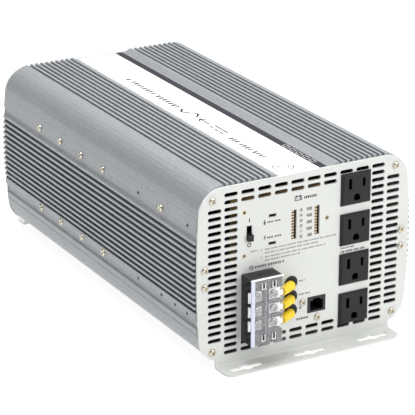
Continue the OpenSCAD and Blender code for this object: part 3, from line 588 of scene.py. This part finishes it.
def number(piece, matrix, digits, x, y, height, width=0.42):
    """A scale number, its lower left corner at (x, y)."""
    wide = 0.48 * height
    for i, digit in enumerate(digits):
        for name in SEGMENTS[digit]:
            a, b = STROKES[name]
            left = x + i * (wide + 0.75)
            stroke(piece, matrix, (left + a[0] * wide, y + a[1] * height), (left + b[0] * wide, y + b[1] * height),
                   width)


def wave(piece, matrix, x, y, length, height, width, cycles=1):
    points = [(x + length * t / 24, y + height / 2 * math.sin(2 * math.pi * cycles * t / 24)) for t in range(25)]
    lines(piece, matrix, points, width)


def caption(piece, matrix, x0, x1, y, height, seed, words=(2, 8), weight=0.6):
    """A row of small plain blocks that stands in for a printed line; weight is a block's share of the height."""
    dice = random.Random(seed)
    x, left = x0, dice.randint(*words)
    while x < x1 - 0.3 * height:
        wide = height * dice.uniform(0.28, 0.5)
        piece.prism([(x, y), (x + wide, y), (x + wide, y + weight * height), (x, y + weight * height)], *INK, matrix)
        x += wide + 0.24 * height
        left -= 1
        if not left:
            x += 0.45 * height
            left = dice.randint(*words)


def add_panel_printing():
    dark, soft = Piece(), Piece()
    bar_left, bar_right = (sum(v[0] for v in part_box(n)) / 2 / MM for n in ("battery_bar", "load_bar"))
    low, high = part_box("load_bar")
    z0, z1 = (low[2] - MID_Z) / MM + 0.4, (high[2] - MID_Z) / MM - 0.9
    for i in range(6):
        number(dark, PANEL, str(10 + i), bar_left + 4.6, z0 + (z1 - z0 - 1.8) * i / 5, 2.1, 0.42)
    for i in range(5):
        number(dark, PANEL, f"{i + 1}00", bar_right - 9.4, z0 + (z1 - z0 - 1.8) * i / 4, 2.0, 0.42)
    # heading over the bars: a battery sign and a few bold marks
    lines(dark, PANEL, [(-10.0, 50.2), (-4.0, 50.2), (-4.0, 53.2), (-10.0, 53.2)], 0.6, closed=True)
    for x in (-8.7, -5.3):
        stroke(dark, PANEL, (x - 0.4, 53.8), (x + 0.4, 53.8), 0.7)
        stroke(dark, PANEL, (x - 0.6, 51.7), (x + 0.6, 51.7), 0.5)
    stroke(dark, PANEL, (-5.3, 51.1), (-5.3, 52.3), 0.5)
    caption(dark, PANEL, -1.6, 10.6, 50.4, 2.6, "heading", (7, 7), 0.8)
    # switch positions
    sx = sum(v[0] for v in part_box("switch_knob")) / 2 / MM
    stroke(dark, PANEL, (sx, 40.2), (sx, 42.9), 0.75)
    circle(dark, PANEL, sx, 21.0, 1.45, 0.65)
    # warning lamps: thermometer and bolt
    lx = sum(v[0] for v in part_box("status_lamps")) / 2 / MM
    circle(dark, PANEL, lx - 7.2, 36.2, 0.75, 0.5, 14)
    lines(dark, PANEL, [(lx - 7.6, 36.9), (lx - 7.6, 39.0), (lx - 6.8, 39.0), (lx - 6.8, 36.9)], 0.35)
    stroke(dark, PANEL, (lx - 7.2, 36.3), (lx - 7.2, 37.8), 0.45)
    caption(dark, PANEL, lx - 4.8, lx + 9.2, 36.2, 2.3, "warm", (4, 4))
    lines(dark, PANEL, [(lx - 6.4, 26.2), (lx - 7.5, 24.6), (lx - 6.6, 24.6), (lx - 7.6, 22.9)], 0.55)
    caption(dark, PANEL, lx - 4.8, lx + 9.2, 23.3, 2.3, "load", (4, 4))
    # notes over the terminal block
    caption(soft, PANEL, -49.6, -42.6, 14.5, 1.8, "note", (4, 4))
    for i, (x1, z) in enumerate(((28.5, 13.9), (13.8, 10.9), (19.4, 7.6), (-4.8, 4.7))):
        caption(soft, PANEL, -36.8, x1, z, 1.9, f"line{i}")
    for z in (13.9, 7.6):
        stroke(soft, PANEL, (-40.0, z), (-40.0, z + 1.3), 0.5)
    # terminal block caption with its wave sign, and the three pole signs
    circle(dark, PANEL, -49.0, 1.4, 1.6, 0.42)
    wave(dark, PANEL, -50.0, 1.4, 2.0, 1.2, 0.38)
    caption(dark, PANEL, -45.8, -19.2, 0.4, 2.5, "block", (5, 8), 0.75)
    poles = sorted(((low[2] + high[2]) / 2 - MID_Z) / MM for low, high in islands("wire_grommets"))
    caption(dark, PANEL, -5.0, 0.4, poles[2] - 0.6, 1.8, "pole a", (3, 3))
    caption(dark, PANEL, -5.4, 4.9, poles[1] - 0.4, 1.8, "pole b", (5, 5))
    ground = poles[0] - 0.2
    stroke(dark, PANEL, (-3.6, ground + 1.2), (-3.6, ground + 2.4), 0.4)
    for i, half in enumerate((1.6, 1.0, 0.45)):
        stroke(dark, PANEL, (-3.6 - half, ground + 1.2 - 0.75 * i), (-3.6 + half, ground + 1.2 - 0.75 * i), 0.38)
    # remote jack, and a rating between the receptacles
    caption(dark, PANEL, -7.4, 5.6, -52.4, 2.4, "jack", (8, 8), 0.7)
    caption(dark, PANEL, 33.4, 47.4, 0.7, 1.7, "rating a", (3, 4), 0.7)
    caption(dark, PANEL, 33.4, 57.0, -2.6, 2.1, "rating b", (3, 5), 0.75)
    dark.done("panel_print_dark", "ink", "panel")
    soft.done("panel_print_grey", "soft_ink", "panel")


def add_label_printing():
    """Signs for a battery feeding an alternating outlet, with blocks in place of the printed lines."""
    dark, soft, white, edge = Piece(), Piece(), Piece(), Piece()
    low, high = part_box("top_label")
    x0, x1 = low[0] / MM, high[0] / MM
    rear = (high[1] - FRONT_Y) / MM
    # drawing plane that runs along Y
    along = (LABEL @ Matrix.Translation((-15.5, 0, 0)) @ Matrix.Rotation(math.pi / 2, 4, "Z")
             @ Matrix.Scale(-1, 4, (0, 1, 0)))
    caption(dark, along, 46, 100, 2.0, 6.8, "run a", (4, 6), 0.7)
    # direct current: a bar over three dashes
    stroke(dark, along, (112, 8.8), (132, 8.8), 1.7)
    for y in (114, 122, 130):
        stroke(dark, along, (y - 2.2, 4.2), (y + 2.2, 4.2), 1.7)
    stroke(dark, along, (139, 6.4), (153, 6.4), 1.6)
    lines(dark, along, [(149, 9.8), (154, 6.4), (149, 3.0)], 1.6)
    wave(dark, along, 160, 6.4, 24, 8.4, 1.7)
    caption(dark, along, 190, 284, 2.2, 8.4, "run b", (5, 8), 0.6)
    for i, (start, end) in enumerate(((66, 112), (126, 176), (190, 236), (250, 312))):
        caption(soft, along, start, end, 23.6, 3.4, f"small{i}", (3, 9))
    caption(soft, along, 46, 94, 18.0, 2.2, "fine", (3, 9))
    caption(soft, along, 300, 344, 3.0, 2.6, "rear a", (3, 9))
    caption(soft, along, 306, 346, 8.0, 2.6, "rear b", (3, 9))
    # the general sign for an alternating source, at the output end
    circle(soft, LABEL, -9.3, 19.4, 8.4, 0.9, 40)
    wave(soft, LABEL, -14.2, 19.4, 9.8, 5.0, 0.9)
    # generic signs on the dark band, and a thin keyline on the label's left
    sx = sum(v[0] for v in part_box("label_stripe")) / 2 / MM
    band = LABEL @ Matrix.Translation((sx, 0, 0)) @ Matrix.Rotation(math.pi / 2, 4, "Z")
    for y in (20, 30, 40, 50, 60):
        lines(white, band, [(y - 3.4, -1.7), (y + 3.4, -1.7), (y + 3.4, 1.7), (y - 3.4, 1.7)], 0.7, closed=True)
    edge.block((x0 + 0.4, 1, INK[0]), (x0 + 1.0, rear - 0.5, INK[1]), LABEL)
    dark.done("label_print_dark", "label_ink", "label")
    soft.done("label_print_grey", "label_soft", "label")
    white.done("band_print_white", "white_ink", "stripe")
    edge.done("label_keyline", "label_soft", "label")


# ---- DC end ----

def add_fans():
    for side in ("left", "right"):
        rotor, guard = Piece(), Piece()
        low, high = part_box("fan_rotor_" + side)
        frame_low, frame_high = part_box("fan_frame_" + side)
        cx, cz = (frame_low[0] + frame_high[0]) / 2, (frame_low[2] + frame_high[2]) / 2
        mouth = Matrix.Translation((cx, high[1], cz)) @ Matrix.Rotation(-math.pi / 2, 4, "X") @ Matrix.Scale(MM, 4)
        reach = (high[2] - low[2]) / 2 / MM
        depth = (high[1] - low[1]) / MM - 3.4
        hub = 15.5
        # hub cup with a rounded rim and a shallow label recess
        rotor.lathe([(0.01, -depth), (hub - 0.8, -depth), (hub, -depth + 0.8), (hub, -1.4), (hub - 0.4, -0.5),
                     (hub - 1.3, -0.05), (hub - 2.4, -0.05), (hub - 2.8, -0.35), (0.01, -0.35)], mouth, 64)
        rotor.lathe([(1.5, -depth - 3.3), (1.5, -depth + 0.1)], mouth, 20)
        for blade in range(7):
            rows = []
            for step in range(9):
                r = hub - 0.6 + (reach - 0.1 - hub + 0.6) * step / 8
                sweep = math.radians(blade * 360 / 7 + 10 * step / 8)
                pitch = math.radians(46 - 16 * step / 8)
                chord = 15 + 5 * step / 8
                ring = []
                for side_of, span in ((0.35, (-1, -0.5, 0, 0.5, 1)), (-0.35, (1, 0.5, 0, -0.5, -1))):
                    for s in span:
                        camber = 1.2 * (1 - s * s)
                        across = s * chord / 2 * math.cos(pitch)
                        deep = -depth / 2 + s * min(chord / 2 * math.sin(pitch), depth / 2 - 1.6) + camber + side_of
                        turn = sweep + across / r
                        ring.append((r * math.cos(turn), r * math.sin(turn), deep))
                rows.append(ring)
            rotor.skin(rows, mouth)
        rotor.done("rotor_" + side, "rotor", "rotor", "rotor_" + side, ["fan_rotor_" + side])
        # wire guard: rings on two crossed wires with eyes at the screws
        eye, out = 35.75 * math.sqrt(2), (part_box("fan_guard_" + side)[1][1] - REAR_Y) / MM
        here = Matrix.Translation((cx, REAR_Y, cz)) @ Matrix.Rotation(-math.pi / 2, 4, "X") @ Matrix.Scale(MM, 4)
        for radius in (9, 18, 27, 36):
            guard.ring(radius, 1.05, here @ Matrix.Translation((0, 0, out - 1.1)))
        for quarter in range(4):
            turn = here @ Matrix.Rotation(math.pi / 4 + quarter * math.pi / 2, 4, "Z")
            guard.tube([(7.5, 0, out - 2.9), (37, 0, out - 2.9), (42, 0, 1.6), (eye - 3.4, 0, 1.5)], 1.0, turn)
            guard.ring(3.2, 0.95, turn @ Matrix.Translation((eye, 0, 1.45)), 32)
        guard.done("guard_" + side, "guard", "guard", stands_for=["fan_guard_" + side])


def thread(piece, matrix, radius, pitch, low, high):
    """A turned bar with V rings that stands in for its thread."""
    profile = [(0.01, low), (radius - 0.5, low)]
    z = low
    while z + pitch < high - 0.4:
        profile += [(radius - 0.42, z), (radius, z + pitch * 0.45), (radius, z + pitch * 0.55)]
        z += pitch
    profile += [(radius - 0.42, z), (radius - 0.6, high), (0.01, high)]
    piece.lathe(profile, matrix, 36)


def hex_nut(piece, matrix, radius, low, high, bore):
    """Six-sided nut, chamfered top and bottom, round its stud."""
    chamfer = 0.12 * radius
    rings = []
    for r, z in ((bore, low), (radius - chamfer, low), (radius, low + 0.5), (radius, high - 0.5),
                 (radius - chamfer, high), (bore, high)):
        ring = []
        for i in range(36):
            a = 2 * math.pi * i / 36
            flat = math.cos(math.pi / 6) / math.cos((a % (math.pi / 3)) - math.pi / 6)
            reach = r if r == bore else r * flat
            ring.append((reach * math.cos(a), reach * math.sin(a), z))
        rings.append(ring)
    rings.append(rings[0])
    piece.skin(rings, matrix, (False, False))


def add_dc_end():
    studs, nuts = Piece(), Piece()
    post_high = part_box("dc_post_positive")[1][1]
    proud = (post_high - REAR_Y) / MM
    for low, high in islands("dc_studs"):
        x, z = (low[0] + high[0]) / 2, (low[2] + high[2]) / 2
        here = Matrix.Translation((x, REAR_Y, z)) @ Matrix.Rotation(-math.pi / 2, 4, "X") @ Matrix.Scale(MM, 4)
        thread(studs, here, 4.0, 1.25, (low[1] - REAR_Y) / MM, (high[1] - REAR_Y) / MM)
        washer = [(3.95, proud), (8.5, proud), (8.5, proud + 1.1), (8.2, proud + 1.4), (3.95, proud + 1.4)]
        nuts.lathe(washer, here, 48, closed=True)
        hex_nut(nuts, here, 7.5, proud + 1.4, proud + 6.4, 3.95)
        inner = (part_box("dc_nuts")[0][1] - REAR_Y) / MM
        hex_nut(nuts, here, 7.5, inner, inner + 5, 3.95)
    studs.done("dc_stud_threads", "stud", "stud", stands_for=["dc_studs"])
    nuts.done("dc_stud_nuts", "nickel", "nickel", stands_for=["dc_nuts"])
    low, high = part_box("ground_stud")
    bond = Piece()
    here = (Matrix.Translation((0, REAR_Y, (low[2] + high[2]) / 2)) @ Matrix.Rotation(-math.pi / 2, 4, "X")
            @ Matrix.Scale(MM, 4))
    tip, root = (high[1] - REAR_Y) / MM, (low[1] - REAR_Y) / MM
    thread(bond, here, 3.0, 1.0, root, tip)
    bond.lathe([(2.95, 0), (6, 0), (6, 0.8), (5.8, 1), (2.95, 1)], here, 40, closed=True)
    hex_nut(bond, here, 5.6, 1, 6, 2.95)
    hex_nut(bond, here, 5.6, -5.5, -1.5, 2.95)
    bond.done("ground_bond_stud", "nickel", "nickel", stands_for=["ground_stud"])
    # plus and minus by the posts, a ground sign, and two rows of blocks
    ink = Piece()
    post_x, post_z = (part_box("dc_post_negative")[0][0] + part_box("dc_post_negative")[1][0]) / 2 / MM, -45
    for sign, x in ((1, post_x), (-1, -post_x)):
        stroke(ink, REAR, (x - 2.4, post_z - 19), (x + 2.4, post_z - 19), 1.0)
        if sign > 0:
            stroke(ink, REAR, (x, post_z - 21.4), (x, post_z - 16.6), 1.0)
    ground = post_z - 20.5
    stroke(ink, REAR, (0, ground + 1.6), (0, ground + 4), 0.6)
    for i, half in enumerate((2.6, 1.7, 0.8)):
        stroke(ink, REAR, (-half, ground + 1.6 - 1.2 * i), (half, ground + 1.6 - 1.2 * i), 0.6)
    caption(ink, REAR, -16, 17, -29.4, 2.0, "dc a")
    caption(ink, REAR, -12, 12, -33.0, 1.7, "dc b")
    ink.done("dc_panel_print", "ink", "panel")


def soften_nodes():
    for name in ("outlet_1", "outlet_2", "outlet_3", "outlet_4", "terminal_base", "remote_jack", "switch_knob",
                 "dc_post_positive", "dc_post_negative", "terminal_clamps", "lug_tongues"):
        soften(NODES[name], 0.22)


def add_details():
    add_screws()
    for node in ("battery_bar", "load_bar"):
        add_bar(node)
    add_leads()
    add_cover()
    add_panel_printing()
    add_label_printing()
    add_fans()
    add_dc_end()
    soften_nodes()


add_details()

# ---- stage ----

# Camera: where it looks, from which side, how high and how far, and its field of view
CAM_TARGET = Vector((-0.0883, -0.1785, 0.1377))
CAM_AZIMUTH, CAM_ELEVATION = math.radians(-29.28), math.radians(20.89)
CAM_DISTANCE = 1.6908
CAM_LENS, CAM_SENSOR = 192.21, 36.0


def make_camera():
    toward = Vector((math.sin(CAM_AZIMUTH) * math.cos(CAM_ELEVATION),
                     -math.cos(CAM_AZIMUTH) * math.cos(CAM_ELEVATION), math.sin(CAM_ELEVATION)))
    data = bpy.data.cameras.new("camera")
    data.lens, data.sensor_width = CAM_LENS, CAM_SENSOR
    data.clip_start, data.clip_end = 0.01, 100
    camera = bpy.data.objects.new("camera", data)
    camera.location = CAM_TARGET + toward * CAM_DISTANCE
    camera.rotation_euler = toward.to_track_quat("Z", "Y").to_euler()
    bpy.context.collection.objects.link(camera)
    bpy.context.scene.camera = camera


def area_light(name, place, target, size, power, color=(1, 1, 1)):
    data = bpy.data.lights.new(name, "AREA")
    data.shape, data.size, data.size_y = "RECTANGLE", size[0], size[1]
    data.energy, data.color = power, color
    light = bpy.data.objects.new(name, data)
    light.location = place
    light.rotation_euler = (Vector(place) - Vector(target)).to_track_quat("Z", "Y").to_euler()
    bpy.context.collection.objects.link(light)


def make_stage():
    bpy.ops.mesh.primitive_plane_add(size=12, location=(0, 0, -0.0003))
    floor = bpy.context.object
    floor.name = "floor"
    paper = surface("floor_paper", "#9b9b9a", 0.8, fine=(300, 0.01), cloud=(2, 0.01), specular=0.1)
    glow = paper.node_tree.nodes["Principled BSDF"].inputs
    glow["Emission Color"].default_value = (1, 1, 1, 1)
    glow["Emission Strength"].default_value = 0.86
    floor.data.materials.append(paper)
    world = bpy.data.worlds.new("studio")
    world.use_nodes = True
    world.node_tree.nodes["Background"].inputs["Color"].default_value = (1, 1, 1, 1)
    tree = world.node_tree
    coord = tree.nodes.new("ShaderNodeTexCoord")
    split = tree.nodes.new("ShaderNodeSeparateXYZ")
    ramp = tree.nodes.new("ShaderNodeMapRange")
    tree.links.new(coord.outputs["Generated"], split.inputs[0])
    tree.links.new(split.outputs["X"], ramp.inputs["Value"])
    for key, value in (("From Min", -1), ("From Max", 1), ("To Min", 0.02), ("To Max", 0.8)):
        ramp.inputs[key].default_value = value
    tree.links.new(ramp.outputs["Result"], tree.nodes["Background"].inputs["Strength"])
    bpy.context.scene.world = world
    middle = (0, 0, 0.08)
    area_light("key", (0.9, -1.9, 1.3), middle, (1.2, 1.2), 24)
    area_light("top", (-0.2, 0.2, 2.0), middle, (1.6, 1.6), 56)
    area_light("side", (-2.0, -0.3, 0.9), middle, (1.0, 1.4), 0.8)
    scene = bpy.context.scene
    scene.view_settings.view_transform = "Standard"
    scene.view_settings.exposure = 0.0


make_camera()
make_stage()
